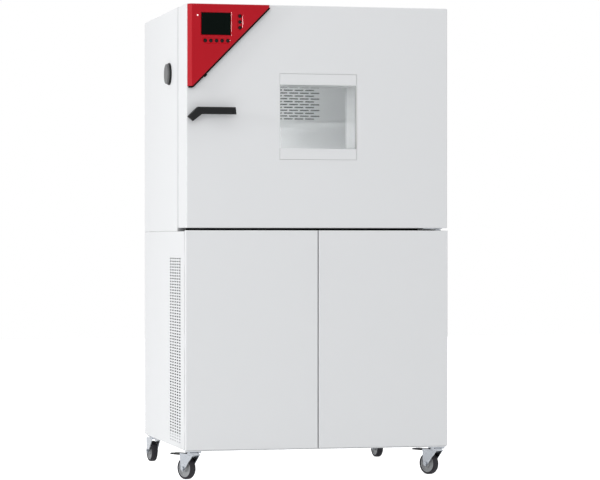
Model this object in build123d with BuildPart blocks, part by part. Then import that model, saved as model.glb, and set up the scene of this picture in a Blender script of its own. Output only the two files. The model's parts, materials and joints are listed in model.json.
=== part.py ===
"""Environmental test chamber on castors: an insulated chamber with a window door above a machine base.

Millimetres. X runs to the right seen from the front, Y to the rear and Z up, from the floor
under the middle of the whole object. Places in depth are counted from the door's front face.
"""

import os
from math import radians, sin

from build123d import *

os.makedirs("parts", exist_ok=True)

# Whole cabinet
cabinet_width = 1110
cabinet_depth = 930
cabinet_height = 1940
floor_gap = 119
seam_height = 1016
running_gap = 0.3
shaft_play = 0.05
sheet = 2
stainless = 1.5

# Chamber room behind the door, between a floor and a roof of foam
room_width = 735
room_depth = 443
floor_foam = 121
roof_foam = 103
plenum_depth = 120
rear_space = 85

# Upper door
door_thickness = 170
door_seal_gap = 10
door_side_inset = 2
door_lift = 12
door_edge_radius = 5
foam_inset = 3
seal_margin = 10
seal_width = 24

# Service doors under it
service_thickness = 25
service_set_back = 1
service_rise = 2
service_swing_gap = 0.6
service_split = 4
service_edge_radius = 3
hinge_line = 2.5
knuckle_radius = 2.4
knuckle_length = 30
knuckle_pin_radius = 1.4
knuckle_root = 1.6
knuckle_end_distance = 108

# Window in the upper door
window_width = 327
window_height = 353
window_rise = 347
trim_height = 46
tunnel_width = 319
tunnel_wall = 2
tunnel_front = 8
tunnel_flange = 6
pane_thickness = 5
pane_back_inset = 12

# Red controller housing at the door's upper left corner
housing_width = 337
housing_height = 334
housing_depth = 25
housing_inset = 6
housing_drop = 3
bevel_width = 14
bevel_depth = 21
housing_edge = 3
tip_width = 18
recess_slope = 45
display_width = 121
display_height = 89
display_from_left = 54
display_from_top = 36
display_recess = 4
display_stand = 2.5
key_radius = 7.5
key_pitch = 23.4
key_stroke = 1.5
key_length = 8
key_edge_radius = 2
row_keys = 5
column_keys = 3
row_from_left = 70
row_from_top = 149
column_from_left = 214
column_from_top = 48
key_recess = 3
key_margin = 2
lamp_radius = 3
lamp_recess = 2
lamp_stand = 1
lamp_from_left = 37.5
lamp_from_top = 47

# Lever handle and its latch
pivot_from_left = 21
pivot_from_top = 460
lever_stand_off = 22
lever_thickness = 22
lever_facet = 6
lever_rise = 38
bend_from_pivot = 21
grip_height = 29
grip_length = 160
tip_reach = 20
tip_drop = 20
base_length = 56
base_width = 24
base_angle = 44
latch_shaft_radius = 8
shaft_grip = 14
shaft_clearance = 1
cam_thickness = 5
cam_length = 52
cam_width = 34
cam_hub_radius = 16
strike_radius = 34
strike_pin_radius = 5
strike_pin_length = 8
strike_foot_radius = 12
strike_foot = 1.5
strike_play = 2
slot_sweep = 60

# Hinges of the upper door
hinge_side_inset = 38
hinge_front_inset = 30
hinge_pin_radius = 6
hinge_plate = 4
hinge_arm_width = 32
hinge_arm_drop = 5
hinge_foot_gap = 2
hinge_notch_room = 3
leaf_thickness = 3
bush_radius = 11.5
bush_clearance = 0.5
bush_length = 34
pin_length = 32

# Grille in the left side
grille_columns = 5
grille_first_depth = 130
grille_column_pitch = 49
grille_row_pitch = 12
grille_from_top = 114
grille_from_bottom = 24
slot_length = 32
slot_height = 5.5

# Vents in the lower rear panel
vent_rows = 12
vent_columns = 3
vent_length = 90
vent_height = 6
vent_column_pitch = 120
vent_row_pitch = 24

# Air baffle at the back of the room
baffle_rows = 16
baffle_rise = 370
baffle_roof_gap = 60
baffle_row_pitch = 12.5
baffle_slot_pitch = 48
baffle_slot_length = 40
baffle_slot_height = 5.5
baffle_slots = 7

# Shelf and the rails it rests on
shelf_rise = 334
rail_pitch = 60
rails_below = 5
rails_above = 5
rail_height = 8
rail_depth = 10
shelf_lip = 20

# Access port in the left side
port_depth = 347
port_rise = 538
port_flange_radius = 46
port_flange_thickness = 8
port_tube_radius = 40
port_bore_radius = 37
plug_cap_radius = 42
plug_cap_thickness = 9
plug_stem_length = 70

# Castors
wheel_radius = 45
tyre_width = 28
tyre_thickness = 9
castor_trail = 42
castor_side_inset = 38
castor_end_inset = 40
castor_plate = 60
castor_plate_thickness = 4
castor_pin_radius = 7
crown_radius = 25
crown_height = 14
fork_gap = 4
fork_sheet = 3
axle_radius = 5
axle_end = 5
axle_nut = 9
front_castor_turn = 28.7
rear_castor_turn = 7
pedal_reach = 126
pedal_drop = 17
pedal_set_back = 10
pedal_thickness = 6
pedal_pin_radius = 3
pedal_side = 14

# Refrigeration and wiring in the machine base
line_radius = 6
line_bend = 24
line_from_centre = (120, 150)
line_rise = (113, 193)
riser_gap = 30
motor_shaft_radius = 6
motor_radius = 52
condenser_inset = 30
condenser_thickness = 60
condenser_length = 240
condenser_first_depth = 110
condenser_lift = 20
condenser_height = 360
compressor_radius = 95
compressor_height = 290
compressor_lift = 25
compressor_from_centre = 60
compressor_depth = 420
box_depth = 300
box_first_depth = 380
box_width = 130
box_end_distance = 180

# Planes of the cabinet
rear_overhang = castor_trail + wheel_radius - castor_end_inset
left_overhang = pedal_reach * sin(radians(front_castor_turn)) + pedal_side - castor_side_inset
LEFT = (left_overhang - cabinet_width) / 2
RIGHT = LEFT + cabinet_width
CENTRE = (LEFT + RIGHT) / 2
FRONT = (lever_stand_off + lever_thickness + 2 * running_gap - rear_overhang - cabinet_depth) / 2
BACK = FRONT + cabinet_depth
door_back = FRONT + door_thickness
body_front = door_back + door_seal_gap
room_back = body_front + room_depth + plenum_depth
room_floor = seam_height + floor_foam
room_top = cabinet_height - roof_foam
foam_back = BACK - rear_space
cover_front = FRONT + 33
base_top = floor_gap + 53
deck_bottom = seam_height - 6
door_bottom = seam_height + door_lift
service_top = seam_height + service_rise
hinge_low = floor_gap + knuckle_end_distance
hinge_high = seam_height - knuckle_end_distance
hinge_heights = (hinge_low, (hinge_low + hinge_high) / 2, hinge_high)
window_centre_z = room_floor + window_rise
window_bottom = window_centre_z - window_height / 2
window_top = window_centre_z + window_height / 2
tunnel_height = window_height - 2 * trim_height
housing_left = LEFT + housing_inset
housing_top = cabinet_height - housing_drop
pivot = (LEFT + pivot_from_left, cabinet_height - pivot_from_top)
hinge_x = RIGHT - hinge_side_inset
hinge_y = FRONT + hinge_front_inset
shelf_top = room_floor + shelf_rise
port_y = FRONT + port_depth
port_z = room_floor + port_rise
baffle_lowest = room_floor + baffle_rise
fan_z = baffle_lowest + (baffle_rows - 1) * baffle_row_pitch / 2
line_x = [CENTRE + offset_x for offset_x in line_from_centre]
line_z = [room_floor + rise for rise in line_rise]


def block(x, y, z, mode=Mode.ADD):
    """A box between two values along each axis."""
    with Locations(((x[0] + x[1]) / 2, (y[0] + y[1]) / 2, (z[0] + z[1]) / 2)):
        Box(x[1] - x[0], y[1] - y[0], z[1] - z[0], mode=mode)


def rod(start, end, radius, mode=Mode.ADD):
    """A round bar from one point to another."""
    along = Vector(*end) - Vector(*start)
    with BuildSketch(Plane(origin=start, z_dir=along)) as section:
        Circle(radius)
    extrude(section.sketch, amount=along.length, mode=mode)


def front_plane(depth):
    """A plane facing the front at a depth, with x to the right and y up."""
    return Plane(origin=(0, FRONT + depth, 0), x_dir=(1, 0, 0), z_dir=(0, -1, 0))


def save(piece, name):
    piece.part.label = name
    export_step(piece.part, f"parts/{name}.step")


# Base frame: a welded rim of square tube on a bottom plate, with a tray for the machines
rim = 50
with BuildPart() as base_frame:
    block((LEFT + 4, RIGHT - 4), (FRONT + 6, BACK - sheet), (floor_gap, floor_gap + 3))
    with BuildSketch(Plane.XY.offset(floor_gap + 3)):
        with Locations((CENTRE, (cover_front + BACK - sheet) / 2)):
            Rectangle(cabinet_width - 2 * sheet, BACK - sheet - cover_front)
            Rectangle(
                cabinet_width - 2 * sheet - 2 * rim,
                BACK - sheet - cover_front - 2 * rim,
                mode=Mode.SUBTRACT,
            )
    extrude(amount=base_top - floor_gap - 3 - sheet)
    block(
        (LEFT + sheet, RIGHT - sheet),
        (cover_front, BACK - sheet),
        (base_top - sheet, base_top),
    )
save(base_frame, "base_frame")

# Side covers of the machine base; the left one has the grille and both carry door hinges
knuckle_y = FRONT + service_set_back + service_thickness + hinge_line


def hinge_halves(side, upper):
    """The knuckles on one side: lower ones carry the pin, upper ones turn on it."""
    x = LEFT + hinge_line if side < 0 else RIGHT - hinge_line
    for z in hinge_heights:
        low = z + running_gap if upper else z - knuckle_length
        rod((x, knuckle_y, low), (x, knuckle_y, low + knuckle_length), knuckle_radius)
        if upper:
            rod(
                (x, knuckle_y, low),
                (x, knuckle_y, low + knuckle_length),
                knuckle_pin_radius + shaft_play,
                mode=Mode.SUBTRACT,
            )
        else:
            rod((x, knuckle_y, z), (x, knuckle_y, z + knuckle_length - 2), knuckle_pin_radius)


def side_cover(side):
    inner = LEFT + sheet if side < 0 else RIGHT - sheet
    outer = LEFT if side < 0 else RIGHT
    block(sorted((outer, inner)), (cover_front, BACK), (floor_gap + 3, seam_height - 2))
    for z in hinge_heights:
        block(
            sorted((inner, inner - side * knuckle_root)),
            (knuckle_y + 1, cover_front + 30),
            (z - knuckle_length, z),
        )
        block(
            sorted((inner + side * sheet / 2, inner - side * knuckle_root)),
            (knuckle_y + 1, cover_front + 5),
            (z - knuckle_length, z),
        )
    hinge_halves(side, upper=False)


grille_top = seam_height - grille_from_top
grille_rows = 1 + int((grille_top - floor_gap - grille_from_bottom) / grille_row_pitch)
grille_middle = (
    FRONT + grille_first_depth + (grille_columns - 1) * grille_column_pitch / 2,
    grille_top - (grille_rows - 1) * grille_row_pitch / 2,
)
with BuildPart() as left_cover:
    side_cover(-1)
    with BuildSketch(Plane(origin=(LEFT, 0, 0), x_dir=(0, 1, 0), z_dir=(1, 0, 0))):
        with Locations(grille_middle):
            with GridLocations(grille_column_pitch, grille_row_pitch, grille_columns, grille_rows):
                Rectangle(slot_length, slot_height)
    extrude(amount=sheet, mode=Mode.SUBTRACT)
save(left_cover, "left_side_cover")

with BuildPart() as right_cover:
    side_cover(1)
save(right_cover, "right_side_cover")

# Rear panels: the lower one has vent slots for the machine base
with BuildPart() as rear_panels:
    block(
        (LEFT + sheet, RIGHT - sheet),
        (BACK - sheet, BACK),
        (floor_gap + 3, deck_bottom - 1),
    )
    with BuildSketch(front_plane(cabinet_depth)):
        with Locations((CENTRE, (floor_gap + deck_bottom) / 2)):
            with GridLocations(vent_column_pitch, vent_row_pitch, vent_columns, vent_rows):
                Rectangle(vent_length, vent_height)
    extrude(amount=sheet, mode=Mode.SUBTRACT)
    block(
        (LEFT + sheet, RIGHT - sheet),
        (BACK - sheet, BACK),
        (seam_height, cabinet_height - sheet),
    )
save(rear_panels, "rear_panels")

# Deck between base and chamber, with a lip turned down at the front
with BuildPart() as deck:
    block(
        (LEFT + sheet, RIGHT - sheet),
        (cover_front, BACK),
        (deck_bottom, seam_height - 2),
    )
    block(
        (LEFT + sheet, RIGHT - sheet),
        (cover_front, cover_front + sheet),
        (deck_bottom - 30, deck_bottom),
    )
    block(
        (LEFT + sheet, RIGHT - sheet),
        (body_front, BACK - sheet),
        (seam_height - 2, seam_height),
    )
    for x in line_x:
        rod(
            (x, foam_back + riser_gap, deck_bottom - 1),
            (x, foam_back + riser_gap, seam_height + 1),
            line_radius + running_gap,
            mode=Mode.SUBTRACT,
        )
save(deck, "machine_deck")

# Upper casing: one sheet bent over both sides and the top
with BuildPart() as casing:
    with BuildSketch(front_plane(body_front - FRONT)):
        with Locations((CENTRE, (seam_height + cabinet_height) / 2)):
            RectangleRounded(cabinet_width, cabinet_height - seam_height, 3)
        with Locations((CENTRE, (seam_height + cabinet_height) / 2 - sheet)):
            Rectangle(
                cabinet_width - 2 * sheet,
                cabinet_height - seam_height,
                mode=Mode.SUBTRACT,
            )
    extrude(amount=body_front - BACK)
    with BuildSketch(Plane(origin=(LEFT, 0, 0), x_dir=(0, 1, 0), z_dir=(1, 0, 0))):
        with Locations((port_y, port_z)):
            Circle(port_tube_radius + running_gap)
    extrude(amount=sheet, mode=Mode.SUBTRACT)
save(casing, "upper_casing")

# Insulation: a block of foam with a pocket for the room
liner_x = (CENTRE - room_width / 2 - stainless, CENTRE + room_width / 2 + stainless)
liner_z = (room_floor - stainless, room_top + stainless)
with BuildPart() as insulation:
    block(
        (LEFT + sheet, RIGHT - sheet),
        (body_front + stainless, foam_back),
        (seam_height, cabinet_height - sheet),
    )
    block(
        liner_x,
        (body_front, room_back + stainless),
        liner_z,
        mode=Mode.SUBTRACT,
    )
    rod(
        (LEFT, port_y, port_z),
        (CENTRE - room_width / 2, port_y, port_z),
        port_tube_radius + running_gap,
        mode=Mode.SUBTRACT,
    )
    rod(
        (CENTRE, room_back, fan_z),
        (CENTRE, foam_back + 1, fan_z),
        motor_shaft_radius + 4,
        mode=Mode.SUBTRACT,
    )
    for x, z in zip(line_x, line_z):
        rod(
            (x, room_back, z),
            (x, foam_back + 1, z),
            line_radius + running_gap,
            mode=Mode.SUBTRACT,
        )
save(insulation, "chamber_insulation")

# Stainless liner of the room, with its front flange and the shelf rails pressed into its sides
rail_top = shelf_top - stainless
rail_heights = [
    rail_top - rail_height / 2 + step * rail_pitch
    for step in range(-rails_below, rails_above + 1)
]
with BuildPart() as liner:
    block(liner_x, (body_front, room_back + stainless), liner_z)
    offset(amount=-stainless, openings=liner.faces().sort_by(Axis.Y)[0])
    with BuildSketch(front_plane(body_front - FRONT)):
        with Locations((CENTRE, (seam_height + cabinet_height - sheet) / 2)):
            Rectangle(
                cabinet_width - 2 * sheet - 2 * running_gap,
                cabinet_height - sheet - seam_height - 2 * running_gap,
            )
        with Locations((CENTRE, (room_floor + room_top) / 2)):
            Rectangle(room_width, room_top - room_floor, mode=Mode.SUBTRACT)
    extrude(amount=-stainless)
    for side in (-1, 1):
        wall = CENTRE + side * room_width / 2
        for z in rail_heights:
            block(
                sorted((wall, wall - side * rail_depth)),
                (body_front + 15, body_front + room_depth - 25),
                (z - rail_height / 2, z + rail_height / 2),
            )
    rod(
        (LEFT, port_y, port_z),
        (CENTRE, port_y, port_z),
        port_tube_radius + running_gap,
        mode=Mode.SUBTRACT,
    )
    rod(
        (CENTRE, room_back - 1, fan_z),
        (CENTRE, foam_back, fan_z),
        motor_shaft_radius + 4,
        mode=Mode.SUBTRACT,
    )
    for x, z in zip(line_x, line_z):
        rod(
            (x, room_back - 1, z),
            (x, foam_back, z),
            line_radius + running_gap,
            mode=Mode.SUBTRACT,
        )
save(liner, "room_liner")

# Baffle in front of the fan: a sheet with staggered slots, folded back at both sides
baffle_y = body_front + room_depth
with BuildPart() as baffle:
    block(
        (CENTRE - room_width / 2 + 1, CENTRE + room_width / 2 - 1),
        (baffle_y, baffle_y + stainless),
        (room_floor + running_gap, room_top - baffle_roof_gap),
    )
    for side in (-1, 1):
        edge = CENTRE + side * (room_width / 2 - 1)
        block(
            sorted((edge, edge - side * stainless)),
            (baffle_y, room_back - running_gap),
            (room_floor + running_gap, room_top - baffle_roof_gap),
        )
    with BuildSketch(front_plane(baffle_y - FRONT)):
        for row in range(baffle_rows):
            slots = baffle_slots - 1 if row % 2 == 0 else baffle_slots
            with Locations((CENTRE, baffle_lowest + row * baffle_row_pitch)):
                with GridLocations(baffle_slot_pitch, 1, slots, 1):
                    Rectangle(baffle_slot_length, baffle_slot_height)
    extrude(amount=-stainless, mode=Mode.SUBTRACT)
save(baffle, "air_baffle")

# Shelf: a slotted sheet with lips turned down, resting on one pair of rails
with BuildPart() as shelf:
    shelf_half = room_width / 2 - 4
    shelf_front = body_front + 20
    shelf_back = body_front + room_depth - 30
    block(
        (CENTRE - shelf_half, CENTRE + shelf_half),
        (shelf_front, shelf_back),
        (rail_top, shelf_top),
    )
    for y in (shelf_front, shelf_back - stainless):
        block(
            (CENTRE - shelf_half + rail_depth, CENTRE + shelf_half - rail_depth),
            (y, y + stainless),
            (rail_top - shelf_lip, rail_top),
        )
    with BuildSketch(Plane.XY.offset(rail_top)):
        with Locations((CENTRE, (shelf_front + shelf_back) / 2)):
            with GridLocations(150, 50, 4, 7):
                Rectangle(120, 16)
    extrude(amount=stainless, mode=Mode.SUBTRACT)
save(shelf, "shelf")

# Evaporator: finned block low behind the baffle, on feet
cooler_tube_inset = 20
with BuildPart() as evaporator:
    half = 320
    cooler_y = (baffle_y + 25, room_back - 25)
    cooler_z = (room_floor + 20, room_floor + 250)
    fins = 13
    for fin in range(fins):
        x = CENTRE - half + fin * 2 * half / (fins - 1)
        block((x - 1, x + 1), cooler_y, cooler_z)
    for x in (CENTRE - half, CENTRE + half):
        block((x - 12, x + 12), cooler_y, (room_floor, room_floor + 22))
    for z in line_z:
        for y in (cooler_y[0] + cooler_tube_inset, cooler_y[1] - cooler_tube_inset):
            rod((CENTRE - half - 15, y, z), (CENTRE + half + 15, y, z), line_radius)
save(evaporator, "evaporator")

# Heater: one tubular element bent to and fro above the evaporator
with BuildPart() as heater:
    bend = 12
    heater_y = baffle_y + 60
    runs = [room_floor + 285 + step * 2 * bend for step in range(3)]
    near, far = CENTRE - 280, CENTRE + 280
    with BuildLine():
        FilletPolyline(
            (near, room_back, runs[0]),
            (near, heater_y, runs[0]),
            (far, heater_y, runs[0]),
            (far, heater_y, runs[1]),
            (near, heater_y, runs[1]),
            (near, heater_y, runs[2]),
            (far, heater_y, runs[2]),
            (far, room_back, runs[2]),
            radius=bend - 0.1,
        )
    with BuildSketch(Plane(origin=(near, room_back, runs[0]), z_dir=(0, -1, 0))):
        Circle(4)
    sweep()
save(heater, "heater_element")

# Fan wheel on its shaft, and the motor behind the insulation
fan_y = baffle_y + 38
with BuildPart() as fan_wheel:
    rod((CENTRE, fan_y, fan_z), (CENTRE, fan_y + 2, fan_z), 100)
    rod((CENTRE, fan_y - 24, fan_z), (CENTRE, fan_y + 26, fan_z), 16)
    rod((CENTRE, fan_y, fan_z), (CENTRE, foam_back + 40, fan_z), motor_shaft_radius)
    with BuildSketch(front_plane(fan_y - FRONT)):
        with Locations((CENTRE, fan_z)):
            with PolarLocations(74, 10):
                Rectangle(44, 2.5, rotation=30)
    extrude(amount=24)
save(fan_wheel, "fan_wheel")

with BuildPart() as fan_motor:
    rod((CENTRE, foam_back, fan_z), (CENTRE, foam_back + 3, fan_z), motor_radius + 12)
    rod((CENTRE, foam_back + 3, fan_z), (CENTRE, foam_back + 68, fan_z), motor_radius)
    fillet(fan_motor.faces().sort_by(Axis.Y)[-1].edges(), radius=8)
    rod(
        (CENTRE, foam_back - 1, fan_z),
        (CENTRE, foam_back + 45, fan_z),
        motor_shaft_radius + shaft_play,
        mode=Mode.SUBTRACT,
    )
save(fan_motor, "fan_motor")

# Port sleeve through the left wall, and the plug that closes it
room_left = CENTRE - room_width / 2
with BuildPart() as port_sleeve:
    rod((LEFT - port_flange_thickness, port_y, port_z), (LEFT, port_y, port_z), port_flange_radius)
    fillet(port_sleeve.faces().sort_by(Axis.X)[0].edges(), radius=2.5)
    rod((LEFT, port_y, port_z), (room_left - stainless, port_y, port_z), port_tube_radius)
    rod(
        (LEFT - port_flange_thickness - 1, port_y, port_z),
        (room_left, port_y, port_z),
        port_bore_radius,
        mode=Mode.SUBTRACT,
    )
save(port_sleeve, "port_sleeve")

plug_face = LEFT - port_flange_thickness - running_gap
with BuildPart() as port_plug:
    rod((plug_face - plug_cap_thickness, port_y, port_z), (plug_face, port_y, port_z), plug_cap_radius)
    fillet(port_plug.faces().sort_by(Axis.X)[0].edges(), radius=3)
    rod(
        (plug_face, port_y, port_z),
        (plug_face + plug_stem_length, port_y, port_z),
        port_bore_radius - running_gap,
    )
    chamfer(port_plug.faces().sort_by(Axis.X)[-1].edges(), length=4)
save(port_plug, "port_plug")

# Machine base: condenser with its shroud behind the grille, fan, compressor, wiring box
condenser_x = (LEFT + condenser_inset, LEFT + condenser_inset + condenser_thickness)
condenser_y = (FRONT + condenser_first_depth, FRONT + condenser_first_depth + condenser_length)
condenser_z = (base_top + condenser_lift, base_top + condenser_lift + condenser_height)
condenser_tube = ((condenser_x[0] + condenser_x[1]) / 2, condenser_y[1] - 30)
shroud_end = condenser_x[1] + 40
fan_centre = (
    (condenser_y[0] + condenser_y[1]) / 2,
    (condenser_z[0] + condenser_z[1]) / 2,
)
with BuildPart() as condenser:
    fins = 15
    for fin in range(fins):
        z = condenser_z[0] + fin * (condenser_z[1] - condenser_z[0]) / (fins - 1)
        block(condenser_x, condenser_y, (z - 1, z + 1))
    for y in (condenser_y[0] + 30, condenser_y[1] - 30):
        rod(
            (condenser_tube[0], y, condenser_z[0] - 1),
            (condenser_tube[0], y, condenser_z[1] + 15),
            line_radius,
        )
    for y in condenser_y:
        block(
            (condenser_x[0], shroud_end),
            (y - 1, y + 1),
            (base_top, condenser_z[1] + 1),
        )
    for z in (condenser_z[0], condenser_z[1]):
        block((condenser_x[1], shroud_end), condenser_y, (z - 1, z + 1))
    with BuildSketch(Plane(origin=(shroud_end, 0, 0), x_dir=(0, 1, 0), z_dir=(1, 0, 0))):
        with Locations(fan_centre):
            Rectangle(
                condenser_y[1] - condenser_y[0] + 2,
                condenser_z[1] - condenser_z[0] + 2,
            )
            Circle(100, mode=Mode.SUBTRACT)
            Circle(26)
            Rectangle(16, 220)
    extrude(amount=2)
    rod(
        (shroud_end + 2, *fan_centre),
        (shroud_end + 50, *fan_centre),
        26,
    )
    rod(
        (shroud_end - 1, *fan_centre),
        (shroud_end + 30, *fan_centre),
        4 + shaft_play,
        mode=Mode.SUBTRACT,
    )
save(condenser, "condenser")

with BuildPart() as condenser_fan:
    rod((shroud_end - 24, *fan_centre), (shroud_end - 4, *fan_centre), 22)
    rod((shroud_end - 10, *fan_centre), (shroud_end + 25, *fan_centre), 4)
    with BuildSketch(Plane(origin=(shroud_end - 18, 0, 0), x_dir=(0, 1, 0), z_dir=(1, 0, 0))):
        with Locations(fan_centre):
            with PolarLocations(55, 5):
                Rectangle(70, 38)
    extrude(amount=2)
save(condenser_fan, "condenser_fan")

compressor_spot = (CENTRE + compressor_from_centre, FRONT + compressor_depth)
with BuildPart() as compressor:
    with BuildSketch(Plane.XY.offset(base_top + compressor_lift)):
        with Locations(compressor_spot):
            Circle(compressor_radius)
    extrude(amount=compressor_height)
    fillet(compressor.edges().filter_by(GeomType.CIRCLE), radius=45)
    block(
        (compressor_spot[0] - 120, compressor_spot[0] + 120),
        (compressor_spot[1] - 80, compressor_spot[1] + 80),
        (base_top + compressor_lift - 5, base_top + compressor_lift + 1),
    )
    with BuildSketch(Plane.XY.offset(base_top)):
        with Locations(compressor_spot):
            with GridLocations(200, 120, 2, 2):
                Circle(12)
    extrude(amount=compressor_lift - 5)
save(compressor, "compressor")


def bent_tube(points, radius, bend):
    """A copper tube: straight runs joined by bends."""
    with BuildLine() as route:
        FilletPolyline(*points, radius=bend)
    first, second = Vector(*points[0]), Vector(*points[1])
    with BuildSketch(Plane(origin=points[0], z_dir=second - first)) as section:
        Circle(radius)
    sweep(section.sketch, path=route.line)


compressor_top = base_top + compressor_lift + compressor_height
riser_y = foam_back + riser_gap
line_turn = condenser_z[1] + 90
cooler_back = cooler_y[1] - cooler_tube_inset + line_radius + running_gap
with BuildPart() as refrigerant_lines:
    bent_tube(
        (
            (*condenser_tube, condenser_z[1] + 15),
            (*condenser_tube, line_turn),
            (condenser_tube[0], riser_y, line_turn),
            (line_x[0], riser_y, line_turn),
            (line_x[0], riser_y, line_z[0]),
            (line_x[0], cooler_back, line_z[0]),
        ),
        line_radius,
        line_bend,
    )
    bent_tube(
        (
            (compressor_spot[0], compressor_spot[1], compressor_top),
            (compressor_spot[0], compressor_spot[1], compressor_top + 80),
            (line_x[1], compressor_spot[1], compressor_top + 80),
            (line_x[1], riser_y, compressor_top + 80),
            (line_x[1], riser_y, line_z[1]),
            (line_x[1], cooler_back, line_z[1]),
        ),
        line_radius,
        line_bend,
    )
save(refrigerant_lines, "refrigerant_lines")

box_x = (RIGHT - sheet - box_width, RIGHT - sheet)
box_y = (FRONT + box_first_depth, FRONT + box_first_depth + box_depth)
box_z = (base_top + box_end_distance, deck_bottom - box_end_distance)
lid_rim = 6
with BuildPart() as wiring_box:
    block(box_x, box_y, box_z)
    fillet(wiring_box.edges().filter_by(Axis.X), radius=6)
    block(
        (box_x[0] - 4, box_x[0]),
        (box_y[0] - lid_rim, box_y[1] + lid_rim),
        (box_z[0] - lid_rim, box_z[1] + lid_rim),
    )
save(wiring_box, "wiring_box")

# Upper door: outer pan, foam, stainless inner panel, seal
door_x = (LEFT + door_side_inset, RIGHT - door_side_inset)
pan_back = door_back - stainless
hinge_notch = hinge_arm_width / 2 + hinge_notch_room
hinge_swing_notch = hinge_front_inset - sheet - 1
arm_top = cabinet_height - hinge_arm_drop - hinge_plate
notch_floor = arm_top - 7
shaft_bore = latch_shaft_radius + shaft_clearance
bush_bore = bush_radius + bush_clearance


def window_cut(depth, amount, width, height):
    """Removes a window opening from the door."""
    with BuildSketch(front_plane(depth)) as opening:
        with Locations((CENTRE, window_centre_z)):
            Rectangle(width, height)
    extrude(opening.sketch, amount=amount, mode=Mode.SUBTRACT)


def top_hinge_notch():
    """Removes the corner in which the upper hinge arm turns, behind the door's front."""
    block(
        (hinge_x - hinge_notch, RIGHT),
        (hinge_y - hinge_swing_notch, door_back + 1),
        (notch_floor, cabinet_height + 1),
        mode=Mode.SUBTRACT,
    )


with BuildPart() as door_pan:
    block(door_x, (FRONT, pan_back), (door_bottom, cabinet_height))
    fillet(
        door_pan.faces().sort_by(Axis.Y)[0].edges() + door_pan.edges().filter_by(Axis.Y),
        radius=door_edge_radius,
    )
    offset(amount=-sheet, openings=door_pan.faces().sort_by(Axis.Y)[-1])
    window_cut(-1, -sheet - 2, window_width, window_height)
    top_hinge_notch()
    rod(
        (pivot[0], FRONT - 1, pivot[1]),
        (pivot[0], FRONT + sheet + 1, pivot[1]),
        shaft_bore,
        mode=Mode.SUBTRACT,
    )
    rod(
        (hinge_x, hinge_y, door_bottom - 1),
        (hinge_x, hinge_y, door_bottom + sheet + 1),
        bush_bore,
        mode=Mode.SUBTRACT,
    )
save(door_pan, "door_outer_pan")

tunnel_outer = (tunnel_width + 2 * tunnel_wall, tunnel_height + 2 * tunnel_wall)
flange_size = (window_width + 2 * tunnel_flange, window_height + 2 * tunnel_flange)
with BuildPart() as door_foam:
    block(
        (door_x[0] + sheet + foam_inset, door_x[1] - sheet - foam_inset),
        (FRONT + sheet, pan_back),
        (door_bottom + sheet + foam_inset, cabinet_height - sheet - foam_inset),
    )
    window_cut(0, -door_thickness, *tunnel_outer)
    window_cut(0, -tunnel_front - 2, *flange_size)
    top_hinge_notch()
    rod(
        (pivot[0], FRONT, pivot[1]),
        (pivot[0], door_back, pivot[1]),
        shaft_bore,
        mode=Mode.SUBTRACT,
    )
    rod(
        (hinge_x, hinge_y, door_bottom),
        (hinge_x, hinge_y, door_bottom + bush_length + 6),
        bush_bore,
        mode=Mode.SUBTRACT,
    )
    rod(
        (hinge_x, hinge_y, arm_top - bush_length - 6),
        (hinge_x, hinge_y, cabinet_height),
        bush_bore,
        mode=Mode.SUBTRACT,
    )
save(door_foam, "door_insulation")

with BuildPart() as door_inner:
    block(door_x, (pan_back, door_back), (door_bottom, cabinet_height))
    window_cut(door_thickness - stainless, -2 * stainless, tunnel_width, tunnel_height)
    top_hinge_notch()
    rod(
        (pivot[0], FRONT, pivot[1]),
        (pivot[0], door_back + 1, pivot[1]),
        shaft_bore,
        mode=Mode.SUBTRACT,
    )
save(door_inner, "door_inner_panel")

seal_inner = (room_width + 2 * seal_margin, room_top - room_floor + 2 * seal_margin)
with BuildPart() as door_seal:
    with BuildSketch(front_plane(door_thickness)):
        with Locations((CENTRE, (room_floor + room_top) / 2)):
            RectangleRounded(seal_inner[0] + 2 * seal_width, seal_inner[1] + 2 * seal_width, 30)
            RectangleRounded(*seal_inner, 20, mode=Mode.SUBTRACT)
    extrude(amount=running_gap - door_seal_gap)
    chamfer(door_seal.faces().sort_by(Axis.Y)[-1].edges(), length=4)
save(door_seal, "door_seal")

# Window: a stainless tunnel through the door, panes at both ends, bars above and below
with BuildPart() as window_tunnel:
    with BuildSketch(front_plane(tunnel_front)):
        with Locations((CENTRE, window_centre_z)):
            Rectangle(*tunnel_outer)
            Rectangle(tunnel_width, tunnel_height, mode=Mode.SUBTRACT)
    extrude(amount=tunnel_front + stainless - door_thickness)
    with BuildSketch(front_plane(tunnel_front)):
        with Locations((CENTRE, window_centre_z)):
            Rectangle(*flange_size)
            Rectangle(tunnel_width, tunnel_height, mode=Mode.SUBTRACT)
    extrude(amount=-2)
save(window_tunnel, "window_tunnel")

with BuildPart() as window_panes:
    block(
        (CENTRE - window_width / 2 + 1, CENTRE + window_width / 2 - 1),
        (FRONT + tunnel_front - pane_thickness, FRONT + tunnel_front),
        (window_bottom + trim_height + 0.5, window_top - trim_height - 0.5),
    )
    block(
        (CENTRE - tunnel_width / 2 + running_gap, CENTRE + tunnel_width / 2 - running_gap),
        (door_back - pane_back_inset, door_back - pane_back_inset + pane_thickness),
        (window_bottom + trim_height + running_gap, window_top - trim_height - running_gap),
    )
save(window_panes, "window_panes")

with BuildPart() as window_bars:
    for low, high in (
        (window_bottom + 1, window_bottom + trim_height),
        (window_top - trim_height, window_top - 1),
    ):
        block(
            (CENTRE - window_width / 2 + 1, CENTRE + window_width / 2 - 1),
            (FRONT, FRONT + tunnel_front),
            (low, high),
        )
    chamfer(window_bars.faces().group_by(Axis.Y)[0].edges(), length=1)
save(window_bars, "window_bars")

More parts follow.
